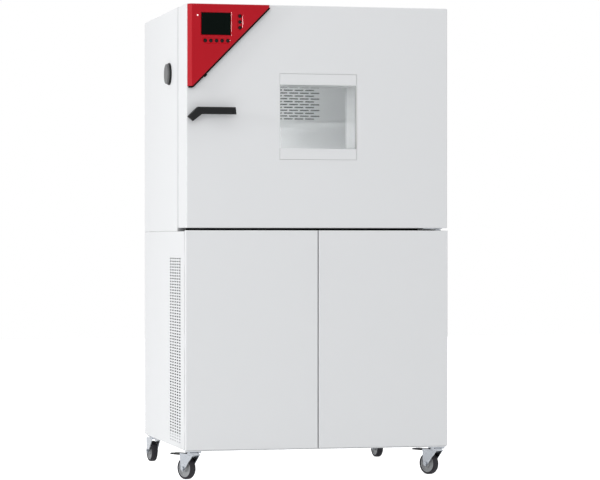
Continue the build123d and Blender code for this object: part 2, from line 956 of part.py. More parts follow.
# Controller housing: a triangle with a broad bevel at the left
display_centre = (
    housing_left + display_from_left + display_width / 2,
    housing_top - display_from_top - display_height / 2,
)
row_centre = (
    housing_left + row_from_left + (row_keys - 1) * key_pitch / 2,
    housing_top - row_from_top,
)
column_centre = (
    housing_left + column_from_left,
    housing_top - column_from_top - (column_keys - 1) * key_pitch / 2,
)
lamp_spot = (housing_left + lamp_from_left, housing_top - lamp_from_top)
slot_width = 2 * (key_radius + key_margin + key_recess)
row_length = (row_keys - 1) * key_pitch + slot_width
column_length = (column_keys - 1) * key_pitch + slot_width
with BuildPart() as housing:
    with BuildSketch(front_plane(0)):
        with BuildLine():
            Polyline(
                (housing_left, housing_top),
                (housing_left + housing_width, housing_top),
                (housing_left + housing_width, housing_top - tip_width / 2),
                (housing_left + tip_width, housing_top - housing_height),
                (housing_left, housing_top - housing_height),
                close=True,
            )
        make_face()
    extrude(amount=housing_depth)
    face_edges = housing.faces().sort_by(Axis.Y)[0].edges()
    left_edge = face_edges.filter_by(Axis.Z).sort_by(Axis.X)[0]
    front_face = housing.faces().sort_by(Axis.Y)[0]
    chamfer(left_edge, length=bevel_width, length2=bevel_depth, reference=front_face)
    rest = housing.faces().sort_by(Axis.Y)[0].edges().sort_by(Axis.X)[1:]
    chamfer(rest, length=housing_edge)
    with BuildSketch(front_plane(-housing_depth)):
        with Locations(display_centre):
            Rectangle(display_width + 2 * display_recess, display_height + 2 * display_recess)
    extrude(amount=-display_recess, mode=Mode.SUBTRACT, taper=recess_slope)
    with BuildSketch(front_plane(-housing_depth)):
        with Locations(row_centre):
            RectangleRounded(row_length, slot_width, slot_width / 2 - 0.1)
        with Locations(column_centre):
            RectangleRounded(slot_width, column_length, slot_width / 2 - 0.1)
    extrude(amount=-key_recess, mode=Mode.SUBTRACT, taper=recess_slope)
    with BuildSketch(front_plane(-housing_depth)):
        with Locations(row_centre):
            with GridLocations(key_pitch, 1, row_keys, 1):
                Circle(key_radius + running_gap)
        with Locations(column_centre):
            with GridLocations(1, key_pitch, 1, column_keys):
                Circle(key_radius + running_gap)
    extrude(amount=-key_recess - key_length, mode=Mode.SUBTRACT)
    with BuildSketch(front_plane(-housing_depth)):
        with Locations(lamp_spot):
            Circle(lamp_radius)
    extrude(amount=-lamp_recess, mode=Mode.SUBTRACT)
save(housing, "controller_housing")

with BuildPart() as display:
    with BuildSketch(front_plane(display_recess - housing_depth)):
        with Locations(display_centre):
            Rectangle(display_width, display_height)
    extrude(amount=display_stand)
    with BuildSketch(front_plane(lamp_recess - housing_depth)):
        with Locations(lamp_spot):
            Circle(lamp_radius)
    extrude(amount=lamp_recess + lamp_stand)
    fillet(display.faces().sort_by(Axis.Y)[0].edges(), radius=0.8)
save(display, "display_and_lamp")

key_front = key_recess + key_length - key_stroke - running_gap - housing_depth
row_spots = [
    (housing_left + row_from_left + step * key_pitch, housing_top - row_from_top)
    for step in range(row_keys)
]
column_spots = [
    (housing_left + column_from_left, housing_top - column_from_top - step * key_pitch)
    for step in range(column_keys)
]
key_names = [f"key_{number}" for number in range(1, row_keys + 1)]
key_names += [f"side_key_{number}" for number in range(1, column_keys + 1)]
for name, spot in zip(key_names, row_spots + column_spots):
    with BuildPart() as key:
        with BuildSketch(front_plane(key_front)):
            with Locations(spot):
                Circle(key_radius)
        extrude(amount=key_length)
        fillet(key.faces().sort_by(Axis.Y)[0].edges(), radius=key_edge_radius)
    save(key, name)

# Lever handle: a bent bar on a base block, turning with the shaft and cam of the latch
lever_back = -lever_stand_off - running_gap
shaft_end = lever_back - shaft_grip
grip_top = pivot[1] + lever_rise
grip_end = pivot[0] + bend_from_pivot + grip_length
with BuildPart() as handle_base:
    with BuildSketch(front_plane(0)):
        with Locations(pivot):
            with Locations((14, 13)):
                RectangleRounded(base_length, base_width, 5, rotation=base_angle)
    extrude(amount=lever_stand_off)
    rod(
        (pivot[0], FRONT + 1, pivot[1]),
        (pivot[0], FRONT - lever_stand_off - 1, pivot[1]),
        latch_shaft_radius + shaft_play,
        mode=Mode.SUBTRACT,
    )
save(handle_base, "handle_base")

with BuildPart() as lever:
    with BuildSketch(front_plane(lever_back)):
        with BuildLine():
            Polyline(
                (pivot[0] - tip_reach, pivot[1] - 2),
                (pivot[0] + bend_from_pivot, grip_top),
                (grip_end - 3, grip_top),
                (grip_end, grip_top - grip_height),
                (pivot[0] + bend_from_pivot + 18, grip_top - grip_height),
                (pivot[0] + 2, pivot[1] - tip_drop),
                close=True,
            )
        make_face()
    extrude(amount=lever_thickness)
    chamfer(lever.faces().sort_by(Axis.Y)[0].edges(), length=lever_facet)
    rod(
        (pivot[0], FRONT + lever_back + 1, pivot[1]),
        (pivot[0], FRONT + shaft_end, pivot[1]),
        latch_shaft_radius,
        mode=Mode.SUBTRACT,
    )
save(lever, "handle_lever")

cam_front = door_thickness + (door_seal_gap - cam_thickness) / 2
pin_path = CenterArc((0, 0), strike_radius, 90, slot_sweep)
with BuildPart() as latch_cam:
    rod(
        (pivot[0], FRONT + shaft_end, pivot[1]),
        (pivot[0], FRONT + cam_front, pivot[1]),
        latch_shaft_radius,
    )
    with BuildSketch(front_plane(cam_front)):
        with Locations(pivot):
            Circle(cam_hub_radius)
            with Locations((0, cam_length / 2)):
                RectangleRounded(cam_width, cam_length, 4)
            SlotArc(pin_path, 2 * (strike_pin_radius + strike_play), mode=Mode.SUBTRACT)
    extrude(amount=-cam_thickness)
save(latch_cam, "latch_cam")

# Hardware on the cabinet front: the latch's strike pin and the hinge arms with their pins
arm_low = service_top + service_swing_gap
washer = door_bottom - leaf_thickness - running_gap
with BuildPart() as door_hardware:
    rod(
        (pivot[0], body_front - strike_pin_length, pivot[1] + strike_radius),
        (pivot[0], body_front, pivot[1] + strike_radius),
        strike_pin_radius,
    )
    rod(
        (pivot[0], body_front - strike_foot, pivot[1] + strike_radius),
        (pivot[0], body_front, pivot[1] + strike_radius),
        strike_foot_radius,
    )
    for low in (arm_low, arm_top):
        with BuildSketch(Plane.XY.offset(low)):
            with Locations((hinge_x, hinge_y)):
                Circle(hinge_arm_width / 2)
            with Locations((hinge_x, (hinge_y + body_front) / 2)):
                Rectangle(hinge_arm_width, body_front - hinge_y)
        extrude(amount=hinge_plate)
    block(
        (hinge_x - hinge_arm_width / 2, hinge_x + hinge_arm_width / 2),
        (cover_front + hinge_foot_gap, body_front),
        (seam_height - 2, arm_low),
    )
    block(
        (hinge_x - hinge_arm_width / 2, hinge_x + hinge_arm_width / 2),
        (body_front - 4, body_front),
        (arm_top - 12, arm_top),
    )
    rod((hinge_x, hinge_y, arm_low + hinge_plate), (hinge_x, hinge_y, washer), hinge_pin_radius + 5)
    rod((hinge_x, hinge_y, washer), (hinge_x, hinge_y, washer + pin_length), hinge_pin_radius)
    rod((hinge_x, hinge_y, arm_top - pin_length + 2), (hinge_x, hinge_y, arm_top), hinge_pin_radius)
save(door_hardware, "door_hardware")

bush_top = arm_top - running_gap
with BuildPart() as hinge_leaves:
    block(
        (hinge_x - 66, hinge_x + 16),
        (hinge_y - 16, hinge_y + 40),
        (door_bottom - leaf_thickness, door_bottom),
    )
    rod((hinge_x, hinge_y, door_bottom), (hinge_x, hinge_y, door_bottom + bush_length), bush_radius)
    rod(
        (hinge_x, hinge_y, door_bottom - leaf_thickness - 1),
        (hinge_x, hinge_y, door_bottom + bush_length - 2),
        hinge_pin_radius + shaft_play,
        mode=Mode.SUBTRACT,
    )
    rod((hinge_x, hinge_y, bush_top - bush_length), (hinge_x, hinge_y, bush_top), bush_radius)
    rod(
        (hinge_x, hinge_y, bush_top - bush_length + 2),
        (hinge_x, hinge_y, bush_top + 1),
        hinge_pin_radius + shaft_play,
        mode=Mode.SUBTRACT,
    )
save(hinge_leaves, "door_hinge_leaves")

# Service doors: sheet pans hung at their outer edges
for side, name in ((-1, "left_service_door"), (1, "right_service_door")):
    outer = LEFT if side < 0 else RIGHT
    inner = CENTRE + side * service_split / 2
    with BuildPart() as service_door:
        front = FRONT + service_set_back
        block(
            sorted((outer, inner)),
            (front, front + service_thickness),
            (floor_gap + 4, service_top),
        )
        fillet(service_door.faces().sort_by(Axis.Y)[0].edges(), radius=service_edge_radius)
        offset(amount=-sheet, openings=service_door.faces().sort_by(Axis.Y)[-1])
        for z in hinge_heights:
            block(
                sorted((outer - side * sheet, outer - side * (sheet + knuckle_root))),
                (front + 4, front + service_thickness),
                (z + running_gap, z + running_gap + knuckle_length),
            )
            block(
                sorted((outer - side * sheet / 2, outer - side * (sheet + knuckle_root))),
                (front + service_thickness - 1, knuckle_y - 1),
                (z + running_gap, z + running_gap + knuckle_length),
            )
        hinge_halves(side, upper=True)
    save(service_door, name)

# Castors, modelled once about the swivel axis with the trail along +Y, then set at each corner
plate_low = floor_gap - castor_plate_thickness
axle_z = wheel_radius
fork_half = tyre_width / 2 + fork_gap
pedal_y = castor_trail + pedal_set_back
pedal_z = floor_gap - pedal_drop
with BuildPart() as castor_head:
    with BuildSketch(Plane.XY.offset(plate_low)):
        RectangleRounded(castor_plate, castor_plate, 6)
    extrude(amount=castor_plate_thickness)
    rod((0, 0, plate_low - crown_height), (0, 0, plate_low), castor_pin_radius)

crown_top = plate_low - running_gap
crown_low = crown_top - crown_height
with BuildPart() as fork:
    with BuildSketch(Plane.XY.offset(crown_low)):
        Circle(crown_radius)
    extrude(amount=crown_height)
    fillet(fork.edges().filter_by(GeomType.CIRCLE), radius=4)
    rod(
        (0, 0, crown_low - 1),
        (0, 0, crown_top + 1),
        castor_pin_radius + shaft_play,
        mode=Mode.SUBTRACT,
    )
    for leg_x in (-fork_half - fork_sheet, fork_half):
        with BuildSketch(Plane(origin=(leg_x, 0, 0), x_dir=(0, 1, 0), z_dir=(1, 0, 0))):
            with BuildLine():
                Polyline(
                    (-22, crown_low + 4),
                    (pedal_y + 8, pedal_z + 5),
                    (pedal_y + 8, pedal_z - 5),
                    (castor_trail + 13, axle_z),
                    (castor_trail, axle_z - 13),
                    (castor_trail - 13, axle_z - 2),
                    close=True,
                )
            make_face()
        extrude(amount=fork_sheet)
    with BuildSketch(Plane.XY.offset(crown_low)):
        Rectangle(2 * (fork_half + fork_sheet), 44)
        Circle(castor_pin_radius + shaft_play, mode=Mode.SUBTRACT)
    extrude(amount=4)
    rod((-fork_half - 1, pedal_y, pedal_z), (fork_half + 1, pedal_y, pedal_z), pedal_pin_radius)
    rod(
        (-fork_half - fork_sheet - axle_end, castor_trail, axle_z),
        (fork_half + fork_sheet + axle_end, castor_trail, axle_z),
        axle_radius,
    )
    for side in (-1, 1):
        with BuildSketch(
            Plane(
                origin=(side * (fork_half + fork_sheet), castor_trail, axle_z),
                x_dir=(0, 1, 0),
                z_dir=(side, 0, 0),
            )
        ):
            RegularPolygon(axle_nut, 6)
        extrude(amount=axle_end)

rim_radius = wheel_radius - tyre_thickness
with BuildPart() as rim_wheel:
    with BuildSketch(Plane(origin=(0, castor_trail, axle_z), x_dir=(1, 0, 0), z_dir=(0, -1, 0))):
        with BuildLine():
            Polyline(
                (-fork_half + running_gap, axle_radius + shaft_play),
                (fork_half - running_gap, axle_radius + shaft_play),
                (fork_half - running_gap, 14),
                (6, 16),
                (6, rim_radius - 6),
                (tyre_width / 2 - 2, rim_radius - 4),
                (tyre_width / 2 - 2, rim_radius),
                (2 - tyre_width / 2, rim_radius),
                (2 - tyre_width / 2, rim_radius - 4),
                (-6, rim_radius - 6),
                (-6, 16),
                (-fork_half + running_gap, 14),
                close=True,
            )
        make_face()
    revolve(axis=Axis((0, castor_trail, axle_z), (1, 0, 0)))

with BuildPart() as tyre:
    with BuildSketch(Plane(origin=(0, castor_trail, axle_z), x_dir=(1, 0, 0), z_dir=(0, -1, 0))):
        with BuildLine():
            half = tyre_width / 2
            Polyline(
                (-half + 2, rim_radius),
                (-half, rim_radius + 2),
                (-half, wheel_radius - 4),
                (-half + 3, wheel_radius),
                (half - 3, wheel_radius),
                (half, wheel_radius - 4),
                (half, rim_radius + 2),
                (half - 2, rim_radius),
                close=True,
            )
        make_face()
    revolve(axis=Axis((0, castor_trail, axle_z), (1, 0, 0)))

pedal_half = fork_half - 0.5
with BuildPart() as pedal:
    with BuildSketch(Plane.XY.offset(pedal_z - pedal_thickness / 2)):
        with BuildLine():
            Polyline(
                (-pedal_half, pedal_y),
                (-pedal_half, pedal_y + 10),
                (-pedal_half - 6, pedal_y + 16),
                (-pedal_half - 6, pedal_reach - 8),
                (-12, pedal_reach),
                (0, pedal_reach - 5),
                (12, pedal_reach),
                (pedal_half + 6, pedal_reach - 8),
                (pedal_half + 6, pedal_y + 16),
                (pedal_half, pedal_y + 10),
                (pedal_half, pedal_y),
                close=True,
            )
        make_face()
    extrude(amount=pedal_thickness)
    chamfer(pedal.faces().sort_by(Axis.Z)[-1].edges(), length=1.5)
    rod((-pedal_half, pedal_y, pedal_z), (pedal_half, pedal_y, pedal_z), pedal_pin_radius + 2.5)
    rod(
        (-pedal_half - 1, pedal_y, pedal_z),
        (pedal_half + 1, pedal_y, pedal_z),
        pedal_pin_radius + shaft_play,
        mode=Mode.SUBTRACT,
    )

spots = {
    "front_left": (LEFT + castor_side_inset, FRONT + castor_end_inset, front_castor_turn),
    "front_right": (RIGHT - castor_side_inset, FRONT + castor_end_inset, front_castor_turn),
    "rear_left": (LEFT + castor_side_inset, BACK - castor_end_inset, rear_castor_turn),
    "rear_right": (RIGHT - castor_side_inset, BACK - castor_end_inset, rear_castor_turn),
}
with BuildPart() as castor_plates:
    for x, y, turn in spots.values():
        with Locations((x, y, 0)):
            add(castor_head.part)
save(castor_plates, "castor_plates")


def place(piece, name, spot):
    """One copy of a castor piece at a corner, turned about its swivel axis."""
    x, y, turn = spot
    placed = piece.part.moved(Location((x, y, 0), (0, 0, turn)))
    placed.label = name
    export_step(placed, f"parts/{name}.step")


for corner, spot in spots.items():
    place(fork, f"{corner}_fork", spot)
    place(rim_wheel, f"{corner}_wheel", spot)
    place(tyre, f"{corner}_tyre", spot)
    if corner.startswith("front"):
        place(pedal, f"{corner}_pedal", spot)
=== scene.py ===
# %% [markdown]
# # An environmental test chamber
#
# The object is a sheet-steel cabinet on castors. Its upper half is an insulated room behind
# a thick door with a window, a red controller and a black lever. Its lower half holds the
# refrigeration behind two service doors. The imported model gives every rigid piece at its
# real place, and this notebook adds finishes, small fasteners and light round it.

# %% Load the fixed frame
import json
from math import cos, pi, radians, sin

import bmesh
import bpy
from mathutils import Matrix, Vector


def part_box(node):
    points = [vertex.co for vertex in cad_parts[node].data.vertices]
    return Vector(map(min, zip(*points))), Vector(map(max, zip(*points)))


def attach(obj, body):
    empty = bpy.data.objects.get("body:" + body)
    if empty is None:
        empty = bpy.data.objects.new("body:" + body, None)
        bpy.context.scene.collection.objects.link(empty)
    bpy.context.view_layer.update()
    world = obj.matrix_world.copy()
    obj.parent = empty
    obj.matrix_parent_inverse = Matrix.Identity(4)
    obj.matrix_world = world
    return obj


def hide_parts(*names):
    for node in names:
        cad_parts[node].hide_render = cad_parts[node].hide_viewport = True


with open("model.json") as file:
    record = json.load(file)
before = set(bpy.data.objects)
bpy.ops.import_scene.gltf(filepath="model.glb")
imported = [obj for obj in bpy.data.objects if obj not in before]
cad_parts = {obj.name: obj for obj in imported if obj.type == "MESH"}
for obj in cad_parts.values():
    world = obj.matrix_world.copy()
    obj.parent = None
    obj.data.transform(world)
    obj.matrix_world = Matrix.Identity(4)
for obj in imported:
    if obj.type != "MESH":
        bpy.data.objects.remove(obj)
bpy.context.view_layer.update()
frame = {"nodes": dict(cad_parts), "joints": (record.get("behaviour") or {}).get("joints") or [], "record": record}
joints = {joint["name"]: joint for joint in frame["joints"]}

# %% [markdown]
# ## Places taken from the frame
#
# The cabinet's planes come from the boxes of its pieces. They could be typed in as numbers,
# but then the camera, the lights and the added pieces would stay behind when a size changes.

# %% Planes of the cabinet
casing_low, casing_high = (Vector(corner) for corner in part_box("upper_casing"))
door_low, door_high = (Vector(corner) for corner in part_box("door_outer_pan"))
rear_low, rear_high = (Vector(corner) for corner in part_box("rear_panels"))
LEFT, RIGHT = casing_low.x, casing_high.x
FRONT, BACK = door_low.y, rear_high.y
TOP = casing_high.z
CENTRE = Vector(((LEFT + RIGHT) / 2, (FRONT + BACK) / 2, TOP / 2))
print("cabinet", round(RIGHT - LEFT, 4), round(BACK - FRONT, 4), round(TOP, 4))

# %% [markdown]
# ## The camera
#
# The photograph was taken from far away with a long lens, to the left of the cabinet and at
# half its height, so that its uprights stay upright. A camera could be placed by eye, but
# here its distance, its turn and its lens were fitted to the six corners of the cabinet that
# show in the picture, because then every other edge falls nearly into place.

# %% Camera
SENSOR = 36.0
PHOTO_WIDTH = 600
FOCAL_PIXELS = 2463.25
CAMERA_OFFSET = Vector((-2.51056, -10.27219, 0.96826))
CAMERA_TURN = 0.21879
CAMERA_PITCH = -0.00405
LENS_SHIFT = (0.1, 0.02085)
camera_data = bpy.data.cameras.new("photo_camera")
camera_data.sensor_width = SENSOR
camera_data.lens = FOCAL_PIXELS / PHOTO_WIDTH * SENSOR
camera_data.shift_x, camera_data.shift_y = LENS_SHIFT
camera = bpy.data.objects.new("photo_camera", camera_data)
camera.location = (CENTRE.x + CAMERA_OFFSET.x, CENTRE.y + CAMERA_OFFSET.y, CAMERA_OFFSET.z)
camera.rotation_euler = (pi / 2 + CAMERA_PITCH, 0, -CAMERA_TURN)
bpy.context.collection.objects.link(camera)
bpy.context.scene.camera = camera
bpy.context.scene.view_settings.view_transform = "Standard"
print("lens", round(camera_data.lens, 1), "mm")

# %% [markdown]
# ## Shader maths as expressions
#
# A finish that varies needs sums and products of noise. Wiring each Math node by hand takes
# four lines and hides the formula. The class below wraps one socket instead, and each of its
# operators adds a Math node, so that a node tree reads as arithmetic.


# %% A socket that can be calculated with
class Value:
    """A number that varies over the surface."""

    def __init__(self, tree, socket):
        self.tree = tree
        self.socket = socket

    def combine(self, operation, first, second):
        node = self.tree.nodes.new("ShaderNodeMath")
        node.operation = operation
        for slot, term in zip(node.inputs, (first, second)):
            if isinstance(term, Value):
                self.tree.links.new(term.socket, slot)
            else:
                slot.default_value = term
        return Value(self.tree, node.outputs[0])

    def __add__(self, other):
        return self.combine("ADD", self, other)

    def __sub__(self, other):
        return self.combine("SUBTRACT", self, other)

    def __rsub__(self, other):
        return self.combine("SUBTRACT", other, self)

    def __mul__(self, other):
        return self.combine("MULTIPLY", self, other)

    def largest(self, other):
        """The larger of two numbers, as an or of two masks."""
        return self.combine("MAXIMUM", self, other)

    __radd__ = __add__
    __rmul__ = __mul__


# %% [markdown]
# Every other node comes from one method: its settings are set first, then its inputs are
# given values or links. A finish starts with the Principled shader and Object coordinates.
# They are metres on the object itself, so a grain has the same size on a large panel and on
# a small key, which the Generated coordinates wouldn't give.


# %% One node tree and one finish
class Nodes:
    """Makes and feeds the nodes of one tree."""

    def __init__(self, tree):
        self.tree = tree

    def set(self, node, inputs):
        """Gives each named socket a number, a colour or a link."""
        for name, value in inputs.items():
            slot = node.inputs[name if isinstance(name, int) else name.replace("_", " ")]
            if isinstance(value, Value):
                self.tree.links.new(value.socket, slot)
            else:
                slot.default_value = value

    def node(self, kind, output=0, settings=(), inputs=(), **named):
        """A node of one kind, as the value of one of its outputs."""
        node = self.tree.nodes.new(kind)
        for name, value in dict(settings).items():
            setattr(node, name, value)
        self.set(node, dict(inputs))
        self.set(node, named)
        return Value(self.tree, node.outputs[output])

    def seen(self):
        """One where the camera looks, straight or by a reflection or through glass."""
        ray = self.tree.nodes.new("ShaderNodeLightPath")
        kinds = ("Is Camera Ray", "Is Glossy Ray", "Is Transmission Ray")
        camera, glossy, through = (Value(self.tree, ray.outputs[kind]) for kind in kinds)
        return camera.largest(glossy).largest(through)


class Finish(Nodes):
    """A material with a Principled shader, built node by node."""

    def __init__(self, name, **constants):
        self.material = bpy.data.materials.new(name)
        self.material.use_nodes = True
        super().__init__(self.material.node_tree)
        self.shader = self.tree.nodes["Principled BSDF"]
        self.set(self.shader, constants)
        self.place = self.node("ShaderNodeTexCoord", output="Object")

    def noise(self, scale, detail=2.0, stretch=(1, 1, 1)):
        """Soft noise between 0 and 1, stretched along an axis by a small number."""
        place = self.node("ShaderNodeMapping", Vector=self.place, Scale=stretch)
        return self.node("ShaderNodeTexNoise", Vector=place, Scale=scale, Detail=detail)

    def mix(self, factor, first, second):
        """A colour between two colours."""
        return self.node(
            "ShaderNodeMix",
            output=2,
            settings={"data_type": "RGBA"},
            inputs={0: factor, 6: first, 7: second},
        )

    def bump(self, height, distance):
        """A relief of the surface, as deep as the distance in metres."""
        self.surface(Normal=self.node("ShaderNodeBump", Height=height, Distance=distance))

    def surface(self, **links):
        """Feeds sockets of the Principled shader."""
        self.set(self.shader, links)


def grey(level, tint=0.0):
    """A linear grey; a positive tint is cooler."""
    return (level * (1 - tint), level, level * (1 + tint), 1)


def darker(colour, share):
    """A colour with each part taken down to a share of it."""
    return tuple(share * part for part in colour[:3]) + (1,)


# %% [markdown]
# ## The finishes
#
# Powder coat is a baked polymer film. It has a faint orange peel and a gloss that varies a
# little, and almost no change of colour. A scanned texture could give all three, but noise
# has no seams and stays sharp on a door more than a metre wide.


# %% Powder coat
def powder_coat(name, colour, roughness):
    paint = Finish(name, Specular_IOR_Level=0.42)
    cloud = paint.noise(3.0, 3)
    peel = paint.noise(420.0, 1)
    shade = paint.mix(cloud, darker(colour, 0.985), colour)
    paint.surface(Base_Color=shade, Roughness=roughness - 0.04 + 0.08 * cloud)
    paint.bump(peel, 0.00006)
    return paint


WHITE = powder_coat("white_powder_coat", grey(0.80, 0.012), 0.46)
BLACK_ENAMEL = powder_coat("black_enamel", grey(0.02), 0.35)
print("coats", WHITE.material.name, "and", BLACK_ENAMEL.material.name)

# %% [markdown]
# The controller's housing is moulded and lacquered: a deep red under a clear coat. One
# glossy layer would wash the red out under large lamps, so the base mirrors almost nothing
# and a thin clear coat gives the shine.

# %% Red lacquer
RED = Finish("red_lacquer", Coat_Roughness=0.05, Coat_IOR=1.5, Specular_IOR_Level=0.03)
red_cloud = RED.noise(9.0, 2)
RED.surface(
    Base_Color=RED.mix(red_cloud, (0.445, 0.0034, 0.012, 1), (0.49, 0.0042, 0.014, 1)),
    Roughness=0.38 + 0.06 * red_cloud,
    Coat_Weight=0.2 + 0.06 * red_cloud,
)
RED.bump(RED.noise(600.0, 1), 0.00002)
print("lacquer", RED.material.name, "with", len(RED.tree.nodes), "nodes")

# %% [markdown]
# Metals are told apart by their surface: ground stainless steel has fine streaks along one
# axis, zinc plating has soft patches, and galvanised sheet has large crystals. Stretched
# noise makes the streaks, plain noise the patches and a Voronoi pattern the crystals. The
# stainless steel is only partly metallic, so that the room's lamps light it softly.


# %% Metals
def ground_steel(name, level, roughness, stretch, metallic=1.0):
    steel = Finish(name, Metallic=metallic)
    streaks = steel.noise(260.0, 3, stretch)
    cloud = steel.noise(5.0, 2)
    shade = steel.mix(streaks, grey(level * 0.93, 0.01), grey(level, 0.01))
    steel.surface(Base_Color=shade, Roughness=roughness - 0.08 + 0.1 * streaks + 0.06 * cloud)
    steel.bump(streaks, 0.00002)
    return steel


def plated(name, colour, roughness):
    plate = Finish(name, Metallic=1.0)
    patch = plate.noise(45.0, 4)
    shade = plate.mix(patch, darker(colour, 0.8), colour)
    plate.surface(Base_Color=shade, Roughness=roughness - 0.1 + 0.2 * patch)
    plate.bump(patch, 0.00003)
    return plate


ALONG_X = (0.02, 1, 1)
ALONG_Z = (1, 1, 0.04)
STAINLESS = ground_steel("ground_stainless", 0.72, 0.40, ALONG_X, metallic=0.55)
ZINC = plated("zinc_plating", (0.38, 0.40, 0.43, 1), 0.25)
COPPER = plated("drawn_copper", (0.78, 0.38, 0.22, 1), 0.28)
ALUMINIUM = ground_steel("mill_aluminium", 0.74, 0.36, ALONG_Z)

GALVANISED = Finish("galvanised_sheet", Metallic=0.85)
crystal = GALVANISED.node(
    "ShaderNodeTexVoronoi", "Color", Vector=GALVANISED.place, Scale=55.0
)
crystal_tone = GALVANISED.node("ShaderNodeSeparateColor", Color=crystal)
GALVANISED.surface(
    Base_Color=GALVANISED.mix(crystal_tone, grey(0.46, 0.02), grey(0.6, 0.02)),
    Roughness=0.38 + 0.16 * crystal_tone,
)
print("metals", len((STAINLESS, ZINC, COPPER, ALUMINIUM, GALVANISED)))

# %% [markdown]
# Plastics and rubbers differ in colour, gloss and grain. A moulded handle has a fine
# spark-eroded grain, a screen is polished over black, and castor rubber is matt. One function
# makes them all, because only its numbers change from one to the next.


# %% Plastics and rubbers
def moulded(name, colour, roughness, grain_scale=900.0, grain_depth=0.00004, level=0.4):
    plastic = Finish(name, Specular_IOR_Level=level)
    grain = plastic.noise(grain_scale, 2)
    cloud = plastic.noise(14.0, 2)
    shade = plastic.mix(cloud, darker(colour, 0.85), colour)
    plastic.surface(Base_Color=shade, Roughness=roughness - 0.05 + 0.1 * grain)
    plastic.bump(grain, grain_depth)
    return plastic


DARK_PLASTIC = moulded("grained_black_nylon", grey(0.017, 0.03), 0.42, level=0.12)
SCREEN = moulded("screen_over_black", (0.0022, 0.0052, 0.0040, 1), 0.16, 40.0, 0.0, 0.03)
KEY = moulded("glossy_key", grey(0.004), 0.16, 300.0, 0.00001, 0.16)
BLACK_RUBBER = moulded("black_rubber", grey(0.006), 0.7, 500.0, 0.00003, 0.05)
PALE_RUBBER = moulded("pale_silicone", grey(0.74, 0.01), 0.6, 500.0, 0.00003, 0.2)
WHEEL = moulded("grey_wheel_plastic", grey(0.40, 0.02), 0.45)
TYRE = moulded("castor_rubber", (0.034, 0.032, 0.038, 1), 0.68, 700.0, 0.00006, 0.2)
GREY_RUBBER = moulded("grey_silicone", grey(0.15, 0.02), 0.55, 500.0, 0.00003)
SEAL = moulded("door_silicone", (0.34, 0.32, 0.29, 1), 0.6, 500.0, 0.00003)
FOAM = moulded("rigid_foam", (0.62, 0.52, 0.30, 1), 0.9, 300.0, 0.0004, 0.1)
print("plastics and rubbers, from", DARK_PLASTIC.material.name, "to", FOAM.material.name)

# %% [markdown]
# The status lamp is lit. A point light behind a lens could do it, but a lens that glows by
# itself is enough at this size, and its glow is a little uneven.

# %% Lit lens
LAMP = Finish("lit_lens", Emission_Strength=1.05, Roughness=0.2)
lamp_cloud = LAMP.noise(500.0)
LAMP.surface(
    Emission_Color=LAMP.mix(lamp_cloud, (1.0, 0.66, 0.66, 1), (1.0, 0.84, 0.82, 1)),
    Base_Color=LAMP.mix(lamp_cloud, (0.8, 0.5, 0.5, 1), (0.9, 0.6, 0.6, 1)),
)
print("lens", LAMP.material.name)

# %% [markdown]
# The panes are clear glass. Real refraction is possible, but behind several panes it is
# noisy and takes the light from the room. Most light goes straight through flat glass, and
# what the eye sees is a thin greenish film, so the shader is mostly transparent.

# %% Window glass
GLASS = Finish("window_glass", IOR=1.5, Specular_IOR_Level=0.5)
film = GLASS.noise(6.0, 2)
GLASS.surface(
    Base_Color=GLASS.mix(film, (0.70, 0.78, 0.77, 1), (0.78, 0.84, 0.83, 1)),
    Roughness=0.02 + 0.03 * film,
    Alpha=0.05 + 0.03 * film,
)
print("glass", GLASS.material.name)

# %% [markdown]
# Each node of the model names its slot in the record, and one table says which finish
# stands for which slot. Each node could be painted by a line of its own, but a table keeps
# equal metals equal.

# %% Paint the nodes
FINISHES = {
    "white_paint": WHITE,
    "zinc": ZINC,
    "stainless": STAINLESS,
    "foam": FOAM,
    "copper": COPPER,
    "aluminium": ALUMINIUM,
    "black_paint": BLACK_ENAMEL,
    "galvanised": GALVANISED,
    "seal_rubber": SEAL,
    "grey_rubber": GREY_RUBBER,
    "dark_plastic": DARK_PLASTIC,
    "red_plastic": RED,
    "glass": GLASS,
    "screen": SCREEN,
    "key_plastic": KEY,
    "tyre": TYRE,
    "wheel_plastic": WHEEL,
}
for entry in frame["record"]["subparts"]:
    node = frame["nodes"][entry["node"]]
    for material_slot in node.material_slots:
        material_slot.material = FINISHES[entry["material_slot"]].material
print("painted", len(frame["nodes"]), "nodes with", len(FINISHES), "finishes")

# %% [markdown]
# ## Helpers for added pieces
#
# A piece starts as a bmesh and becomes an object that rides on one body. Its place is in its
# mesh and the object stays at the origin, as with the model's own nodes, so all of them share
# one frame. Edges sharper than 35 degrees stay crisp, and the others are shaded smooth.

# %% From bmesh to a riding piece
CRISP = radians(35)


def add_piece(name, work, body, finish):
    """Turns a bmesh into a named piece that rides on a body."""
    bmesh.ops.recalc_face_normals(work, faces=work.faces)
    for face in work.faces:
        face.smooth = True
    for edge in work.edges:
        edge.smooth = edge.calc_face_angle(0) < CRISP
    mesh = bpy.data.meshes.new(name)
    work.to_mesh(mesh)
    work.free()
    mesh.materials.append(finish.material)
    piece = bpy.data.objects.new(name, mesh)
    bpy.context.collection.objects.link(piece)
    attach(piece, body)
    print(name, len(mesh.polygons), "faces on", body)
    return piece


def facing(direction):
    """A turn that brings +Z onto a direction."""
    return Vector((0, 0, 1)).rotation_difference(Vector(direction)).to_matrix().to_4x4()


# %% [markdown]
# A flat bar is a cube with its edges rounded, because its two corners then say where it is. A
# turned part is a short profile of radius and height, spun round its axis, which is how it
# would be turned on a lathe. A cylinder with loops cut into it would need far more steps.


# %% Bars and turned parts
FINE_EDGE = 0.0004
SOFT_EDGE = 0.001
SAME_PLACE = 1e-6


